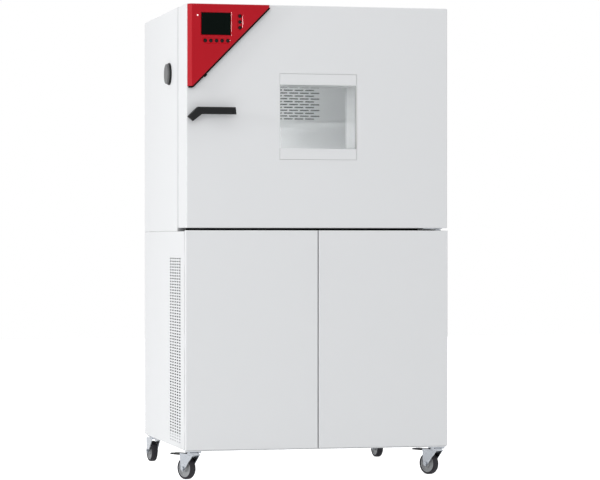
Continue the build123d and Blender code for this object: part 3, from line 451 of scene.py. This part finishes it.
def add_bar(work, low, high, edge=FINE_EDGE):
    """A rounded bar between two corners, added to the work."""
    low, high = Vector(low), Vector(high)
    size = high - low
    place = Matrix.Translation((low + high) / 2) @ Matrix.Diagonal((*size, 1))
    corners = bmesh.ops.create_cube(work, size=1.0, matrix=place)["verts"]
    edges = {side for corner in corners for side in corner.link_edges}
    bmesh.ops.bevel(
        work, geom=list(edges), offset=edge, segments=2, profile=0.5, affect="EDGES", material=-1
    )


def add_turned(work, profile, centre, axis, steps, ring=False):
    """A profile of (radius, height) points spun round an axis; a ring closes on itself."""
    lathe = bmesh.new()
    points = [lathe.verts.new((radius, 0, height)) for radius, height in profile]
    ends = points[1:] + points[:1] if ring else points[1:]
    for first, second in zip(points, ends):
        lathe.edges.new((first, second))
    bmesh.ops.spin(
        lathe,
        geom=lathe.verts[:] + lathe.edges[:],
        axis=(0, 0, 1),
        cent=(0, 0, 0),
        angle=2 * pi,
        steps=steps,
        use_merge=True,
    )
    bmesh.ops.remove_doubles(lathe, verts=lathe.verts, dist=SAME_PLACE)
    lathe.transform(Matrix.Translation(centre) @ facing(axis))
    turned = bpy.data.meshes.new("turned")
    lathe.to_mesh(turned)
    lathe.free()
    work.from_mesh(turned)
    bpy.data.meshes.remove(turned)


# %% [markdown]
# ## The controller
#
# The status lamp is a small domed lens that glows. A flattened sphere would do, but turned
# from a quarter ellipse its rim sits on the lamp of the model, and its crown stands about a
# millimetre proud.

# %% Status lamp
housing_low, housing_high = (Vector(corner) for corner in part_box("controller_housing"))
LAMP_FROM_LEFT = 0.0375
LAMP_FROM_TOP = 0.047
LENS_RADIUS = 0.0031
LENS_RISE = 0.0012
LENS_SINK = 0.0004
LENS_ARCS = 6
LENS_STEPS = 32
TO_FRONT = (0, -1, 0)


def quarter_dome(radius, foot, rise, arcs):
    """Points of a quarter ellipse, from the rim at the foot up to the crown."""
    turns = [step * pi / 2 / arcs for step in range(arcs + 1)]
    return [(radius * cos(turn), foot + rise * sin(turn)) for turn in turns]


lens = bmesh.new()
lens_foot = [(0, -LENS_SINK), (LENS_RADIUS, -LENS_SINK)]
lens_profile = lens_foot + quarter_dome(LENS_RADIUS, 0, LENS_RISE, LENS_ARCS)
lens_place = (
    housing_low.x + LAMP_FROM_LEFT,
    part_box("display_and_lamp")[0][1],
    housing_high.z - LAMP_FROM_TOP,
)
add_turned(lens, lens_profile, lens_place, TO_FRONT, LENS_STEPS)
add_piece("status_lamp_lens", lens, "door", LAMP)

# %% [markdown]
# The keys are glossy domes. Each is turned from a short stem and a quarter ellipse, on the
# axis of its node, and stands for it. The same profile serves all eight, so a loop makes them
# and each one rides on its own key, which can be pressed.

# %% Domed keys
KEY_ARCS = 8
KEY_STEPS = 40
DOME_RISE = 0.0042
KEY_NODES = sorted(name for name in frame["nodes"] if "key_" in name)
for name in KEY_NODES:
    key_low, key_high = (Vector(corner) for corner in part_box(name))
    key_radius = (key_high.x - key_low.x) / 2
    stem = key_high.y - key_low.y - DOME_RISE
    key_profile = [(0, 0), (key_radius, 0)]
    key_profile += quarter_dome(key_radius, stem, DOME_RISE, KEY_ARCS)
    key_place = ((key_low.x + key_high.x) / 2, key_high.y, (key_low.z + key_high.z) / 2)
    work = bmesh.new()
    add_turned(work, key_profile, key_place, TO_FRONT, KEY_STEPS)
    piece = add_piece("domed_" + name, work, name, KEY)
    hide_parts(name)

# %% [markdown]
# A black rubber trim runs along the slanting edge of the housing, where it meets the white
# door, round the tip at the bottom, and past a small catch. Its black is partly painted
# shade, standing for the shade under the slanting edge of the housing. It could be swept
# along a curve, but its long run is straight, so it is a bar that is made flat and then
# turned to the slope.

# %% Trim under the slanting edge
TIP_WIDTH = 0.018
TRIM_WIDTH = 0.0065
TRIM_DEPTH = 0.019
TRIM_GAP = 0.0003
CATCH_AT = 0.14
CATCH_SIZE = (0.013, 0.016, 0.005)
TIP_INSET = 0.004
TRIM_LAP = 0.002
tip_end = Vector((housing_low.x + TIP_WIDTH, 0, housing_low.z))
high_end = Vector((housing_high.x, 0, housing_high.z - TIP_WIDTH / 2))
slope = (high_end - tip_end).normalized()
outward = Vector((slope.z, 0, -slope.x))
length = (high_end - tip_end).length
turn = Matrix((slope, (0, 1, 0), -outward)).transposed().to_4x4()
# Painted shade in part: the black strip stands for the shade under the housing's slanting edge as well as a dark
# seal.
trim = bmesh.new()
add_bar(trim, (0, -TRIM_DEPTH, -TRIM_WIDTH), (length, 0, 0), SOFT_EDGE)
catch_x = CATCH_AT * length
add_bar(
    trim,
    (catch_x, -CATCH_SIZE[1], -TRIM_WIDTH - CATCH_SIZE[2]),
    (catch_x + CATCH_SIZE[0], 0, -TRIM_WIDTH),
    SOFT_EDGE,
)
trim.transform(Matrix.Translation(tip_end + outward * TRIM_GAP + Vector((0, FRONT, 0))) @ turn)
add_bar(
    trim,
    (housing_low.x + TIP_INSET, FRONT - TRIM_DEPTH, housing_low.z - TRIM_WIDTH),
    (tip_end.x + TRIM_LAP, FRONT, housing_low.z - TRIM_GAP),
    SOFT_EDGE,
)
add_piece("edge_trim_and_shade", trim, "door", BLACK_RUBBER)

# %% [markdown]
# ## Seals and seams
#
# The gap behind the door is closed by a pale lip, so that from the side the seam is only a
# fine line. It runs up the left edge and along the top as far as the hinge. The gap under the
# door is dark: a black strip stands on the deck there. It is a seal, and its black is painted
# shade for the deep shade in the gap. Both are straight extrusions on the real chamber, and
# plain bars here.

# %% Lip behind the door, strip under the door
LIP_INSET = 0.0004
LIP_WIDTH = 0.006
LIP_FROM_PAN = 0.0016
LIP_FROM_FOOT = 0.001
DOOR_CLEARANCE = 0.0006
HINGE_SIDE = 0.12
lip = bmesh.new()
lip_left = LEFT + LIP_INSET
lip_front = door_high.y + LIP_FROM_PAN
lip_back = casing_low.y - DOOR_CLEARANCE
lip_top = door_high.z - LIP_INSET
add_bar(
    lip,
    (lip_left, lip_front, door_low.z + LIP_FROM_FOOT),
    (lip_left + LIP_WIDTH, lip_back, lip_top),
)
add_bar(
    lip,
    (lip_left + LIP_WIDTH, lip_front, lip_top - LIP_WIDTH),
    (RIGHT - HINGE_SIDE, lip_back, lip_top),
)
add_piece("door_outer_lip", lip, "door", PALE_RUBBER)

STRIP_DEPTH = 0.010
STRIP_FROM_LEFT = 0.007
STRIP_FROM_FRONT = 0.001
STRIP_SINK = 0.0016
# Painted shade: the black strip under the door stands for the deep shade in the gap.
strip = bmesh.new()
strip_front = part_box("machine_deck")[0][1] + STRIP_FROM_FRONT
add_bar(
    strip,
    (LEFT + STRIP_FROM_LEFT, strip_front, casing_low.z - STRIP_SINK),
    (RIGHT - HINGE_SIDE, strip_front + STRIP_DEPTH, door_low.z - DOOR_CLEARANCE),
)
add_piece("deck_shade_strip", strip, "cabinet", BLACK_RUBBER)

# %% [markdown]
# Behind the grille of the machine base lies a filter mat, which keeps dust off the condenser.
# Its black is painted shade: it makes the slots look as dark as the shade inside the base.
# It spans the slots of the left cover. Only small spots of it show, so a plain black bar is
# enough.

# %% Filter mat behind the grille
cover_low, cover_high = (Vector(corner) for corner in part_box("left_side_cover"))
SHEET = 0.002
MAT_GAP = 0.0003
MAT_THICKNESS = 0.005
MAT_FROM_FOOT = 0.006
GRILLE_FROM_FRONT = (0.100, 0.350)
GRILLE_FROM_TOP = 0.095
# Painted shade: the black mat stands for the shade inside the machine base behind the slots.
mat = bmesh.new()
mat_x = cover_low.x + SHEET + MAT_GAP
add_bar(
    mat,
    (mat_x, FRONT + GRILLE_FROM_FRONT[0], cover_low.z + MAT_FROM_FOOT),
    (mat_x + MAT_THICKNESS, FRONT + GRILLE_FROM_FRONT[1], cover_high.z - GRILLE_FROM_TOP),
    SOFT_EDGE,
)
add_piece("filter_mat_slot_shade", mat, "cabinet", BLACK_RUBBER)

# %% [markdown]
# The panes are held by rubber wedges, pushed in between the glass and its frame. The one
# behind the outer pane stands at the hinge side and shows as a dark upright line at the edge
# of the glass. Two more stand in front of the inner pane, one at each side.

# %% Glazing wedges
pane_low, pane_high = (Vector(corner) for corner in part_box("window_panes"))
WEDGE_WIDTH = 0.0035
WEDGE_DEPTH = 0.003
WEDGE_GAP = 0.0002
PANE = 0.005
wedge = bmesh.new()
outer_back = pane_low.y + PANE
add_bar(
    wedge,
    (pane_high.x - WEDGE_WIDTH, outer_back + WEDGE_GAP, pane_low.z),
    (pane_high.x, outer_back + WEDGE_DEPTH, pane_high.z),
)
inner_front = pane_high.y - PANE
for low_x in (pane_low.x, pane_high.x - WEDGE_WIDTH):
    add_bar(
        wedge,
        (low_x, inner_front - WEDGE_DEPTH, pane_low.z),
        (low_x + WEDGE_WIDTH, inner_front - WEDGE_GAP, pane_high.z),
    )
add_piece("glazing_wedges", wedge, "door", BLACK_RUBBER)

# %% [markdown]
# Behind the slots of the air baffle stands a black plate, painted shade for the dark inside
# of the air duct. Through the window it makes the slots dark, which the light steel further
# back wouldn't. Only its front shows, so it is a thin plate.

# %% Painted shade behind the air slots
baffle_low, baffle_high = (Vector(corner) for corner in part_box("air_baffle"))
fan_low, fan_high = (Vector(corner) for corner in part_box("fan_wheel"))
SCREEN_STAND = 0.003
SCREEN_THICKNESS = 0.002
SCREEN_SPREAD = 0.075
SCREEN_RISE = 0.008
# Painted shade: a black plate that stands for the dark inside of the duct behind the slots.
screen = bmesh.new()
shade_plate_y = baffle_low.y + SCREEN_STAND
add_bar(
    screen,
    (fan_low.x - SCREEN_SPREAD, shade_plate_y, fan_low.z - SCREEN_RISE),
    (fan_high.x + SCREEN_SPREAD, shade_plate_y + SCREEN_THICKNESS, fan_high.z + SCREEN_RISE),
)
add_piece("duct_shade_plate", screen, "cabinet", BLACK_RUBBER)

# %% [markdown]
# ## Fasteners
#
# Pan-head screws hold the rear panels along their edges. Each is a small turned dome, and
# its socket is left out, because the head is only nine millimetres wide. As separate objects
# they would be slow to handle, so all the screws are one piece.

# %% Screws of the rear panels
HEAD_RADIUS = 0.0045
HEAD_RISE = 0.0018
EDGE_INSET = 0.014
head_profile = [
    (0, 0),
    (HEAD_RADIUS, 0),
    (HEAD_RADIUS, 0.4 * HEAD_RISE),
    (0.8 * HEAD_RADIUS, 0.85 * HEAD_RISE),
    (0.4 * HEAD_RADIUS, HEAD_RISE),
    (0, HEAD_RISE),
]
screws = bmesh.new()
SEAM = casing_low.z
rows = (rear_low.z + EDGE_INSET, SEAM - EDGE_INSET, SEAM + EDGE_INSET, rear_high.z - EDGE_INSET)
ACROSS = 6
HEAD_STEPS = 16
TO_BACK = (0, 1, 0)
sides = (rear_low.x + EDGE_INSET, rear_high.x - EDGE_INSET)
for row in rows:
    for step in range(ACROSS):
        x = sides[0] + (sides[1] - sides[0]) * step / (ACROSS - 1)
        add_turned(screws, head_profile, (x, BACK, row), TO_BACK, HEAD_STEPS)
for side_x in sides:
    for middle in ((rows[0] + rows[1]) / 2, (rows[2] + rows[3]) / 2):
        add_turned(screws, head_profile, (side_x, BACK, middle), TO_BACK, HEAD_STEPS)
add_piece("rear_panel_screws", screws, "cabinet", ZINC)

# %% [markdown]
# Four hexagon bolts hold each castor plate under the base frame. A hexagon head could be an
# extruded face, but a cone of six sides with equal ends is one step. The places come from the
# swivel joints, so that the bolts stay round their castors.

# %% Castor bolts
BOLT_RADIUS = 0.0062
BOLT_HEIGHT = 0.0045
BOLT_SPREAD = 0.0232
PLATE = 0.004
HEXAGON = 6
CORNERS = ("front_left", "front_right", "rear_left", "rear_right")
plate_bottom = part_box("base_frame")[0][2] - PLATE
bolts = bmesh.new()
for corner in CORNERS:
    swivel = joints[corner + "_swivel"]["pos_m"]
    for side_x in (-1, 1):
        for side_y in (-1, 1):
            place = Matrix.Translation(
                (
                    swivel[0] + side_x * BOLT_SPREAD,
                    swivel[1] + side_y * BOLT_SPREAD,
                    plate_bottom - BOLT_HEIGHT / 2,
                )
            )
            bmesh.ops.create_cone(
                bolts,
                cap_ends=True,
                segments=HEXAGON,
                radius1=BOLT_RADIUS,
                radius2=BOLT_RADIUS,
                depth=BOLT_HEIGHT,
                matrix=place,
            )
add_piece("castor_bolts", bolts, "cabinet", ZINC)

# %% [markdown]
# ## Castor wheels
#
# The wheels of the model are made of flat facets, and smooth shading alone would leave their
# corners in the outline. So each wheel and its tyre are turned again on the joint's own axis,
# with a rounded tread and a dished disc, and stand for their nodes. A wheel is the same on
# both sides, so half a profile is enough: points of a radius and a distance from the middle.

# %% Wheels and tyres
WHEEL_HALF = [
    (0.0056, 0.0174),
    (0.0125, 0.0174),
    (0.0145, 0.0164),
    (0.0160, 0.0068),
    (0.0180, 0.0060),
    (0.0280, 0.0060),
    (0.0305, 0.0075),
    (0.0320, 0.0118),
    (0.0359, 0.0118),
]
TYRE_HALF = [
    (0.0360, 0.0118),
    (0.0376, 0.0136),
    (0.0405, 0.0139),
    (0.0430, 0.0126),
    (0.0445, 0.0098),
    (0.0450, 0.0060),
]
WHEEL_STEPS = 64


def both_sides(half):
    """A closed profile from the half on one side of the wheel's middle."""
    return [(radius, -along) for radius, along in half] + half[::-1]


for corner in CORNERS:
    roll = joints[corner + "_roll"]
    for part, half, finish, slot_name in (
        ("wheel", WHEEL_HALF, WHEEL, "wheel_plastic"),
        ("tyre", TYRE_HALF, TYRE, "tyre"),
    ):
        work = bmesh.new()
        place, axis = roll["pos_m"], roll["axis"]
        add_turned(work, both_sides(half), place, axis, WHEEL_STEPS, ring=True)
        piece = add_piece(f"{corner}_turned_{part}", work, corner + "_wheel", finish)
        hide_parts(f"{corner}_{part}")

# %% [markdown]
# ## The stage
#
# The photograph has a plain white ground. A world at full strength would be white too, but
# it would drown the lamps. So the world is white to the eye, also by way of a reflection and
# through glass, and dimmer as a light.

# %% World
world = bpy.data.worlds.new("studio")
bpy.context.scene.world = world
world.use_nodes = True
world.node_tree.nodes.clear()
sky = Nodes(world.node_tree)
AMBIENT = 0.64
DAYLIGHT = (0.985, 0.99, 1.0, 1)
dim = sky.node("ShaderNodeBackground", Color=DAYLIGHT, Strength=AMBIENT)
white = sky.node("ShaderNodeBackground", Color=(1, 1, 1, 1), Strength=1.0)
choice = sky.node("ShaderNodeMixShader", inputs={0: sky.seen(), 1: dim, 2: white})
world_out = sky.tree.nodes.new("ShaderNodeOutputWorld")
sky.tree.links.new(choice.socket, world_out.inputs["Surface"])
print("world", world.name, "lights with", AMBIENT)

# %% [markdown]
# The floor is a white sheet under the castors. Painted white alone, it would show grey where
# the lamps fall off. It also glows a little, only to the eye, so that it is nearly white and
# still keeps the shadows under the castors.

# %% Floor
FLOOR_REACH = 14
floor_work = bmesh.new()
bmesh.ops.create_grid(floor_work, x_segments=1, y_segments=1, size=FLOOR_REACH)
floor_mesh = bpy.data.meshes.new("floor")
floor_work.to_mesh(floor_mesh)
floor_work.free()
floor = bpy.data.objects.new("floor", floor_mesh)
bpy.context.collection.objects.link(floor)
FLOOR_GLOW = 0.78
paper = Finish("white_floor", Base_Color=grey(0.93), Roughness=0.9, Specular_IOR_Level=0.1)
glow = paper.mix(paper.seen(), grey(0), grey(FLOOR_GLOW))
paper.surface(Emission_Color=glow, Emission_Strength=1.0)
floor_mesh.materials.append(paper.material)
print("floor", 2 * FLOOR_REACH, "m wide")

# %% [markdown]
# Large soft lamps stand to the left, in front and above. Small lamps would light the cabinet
# as well, but their shadows would be hard. The left side of the cabinet is lighter than its
# front, as in the photograph. A tall narrow lamp stands at the far left, in the direction in
# which the slanted walls of the controller's recesses mirror it to the camera as bright bars.


# %% Lamps
def area_lamp(name, place, aim, size, power):
    """A soft rectangular lamp that looks at a point; its power is in watts."""
    data = bpy.data.lights.new(name, "AREA")
    data.shape = "RECTANGLE"
    data.size, data.size_y = size
    data.energy = power
    lamp = bpy.data.objects.new(name, data)
    lamp.location = place
    lamp.rotation_euler = (Vector(aim) - Vector(place)).to_track_quat("-Z", "Y").to_euler()
    bpy.context.collection.objects.link(lamp)
    return lamp


area_lamp(
    "left_softbox", place=(-4.5, -0.2, 1.2), aim=(LEFT, 0, 0.7), size=(3.0, 2.6), power=28
)
area_lamp(
    "front_softbox", place=(-1.5, -6.0, 3.6), aim=(0, FRONT, 1.2), size=(4.0, 2.5), power=54
)
area_lamp("top_softbox", place=(0.5, -0.5, 5.0), aim=(0, 0, 0), size=(4.0, 4.0), power=36)
STRIP_AWAY = 3.0
STRIP_SIZE = (0.24, 0.7)
MIRRORED = Vector((-0.977, -0.2125, 0.088))
RECESS_FROM_LEFT = 0.17
RECESS_FROM_TOP = 0.08
strip_aim = Vector(
    (housing_low.x + RECESS_FROM_LEFT, FRONT, housing_high.z - RECESS_FROM_TOP)
)
area_lamp("strip_softbox", strip_aim + STRIP_AWAY * MIRRORED, strip_aim, STRIP_SIZE, 20)
print("lamps", [lamp.name for lamp in bpy.data.lights])

# %% [markdown]
# The studio's lamps hardly reach into the room. Two lamps inside it light the perforated wall
# behind the window, one above the shelf and one below it. They stand at the left wall, which
# the camera can't see, so that the light fades to the right. They are kept out of
# reflections: the steel wall behind would mirror them as hard white patches.

# %% Lamps of the room
ROOM_LAMP_SIZE = (0.30, 0.12)
ROOM_LAMP_FROM_WALL = 0.03
ROOM_LAMP_FROM_DOOR = 0.15
shelf_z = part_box("shelf")[0][2]
for name, lamp_z, aim_z, power in (
    ("upper_room_lamp", baffle_high.z - 0.10, baffle_high.z - 0.30, 3.3),
    ("lower_room_lamp", (shelf_z + baffle_low.z) / 2, baffle_low.z + 0.14, 5.6),
):
    lamp_x = baffle_low.x + ROOM_LAMP_FROM_WALL
    lamp_place = (lamp_x, casing_low.y + ROOM_LAMP_FROM_DOOR, lamp_z)
    lamp = area_lamp(name, lamp_place, (CENTRE.x, baffle_low.y, aim_z), ROOM_LAMP_SIZE, power)
    lamp.visible_glossy = False
    print(name, power, "W")
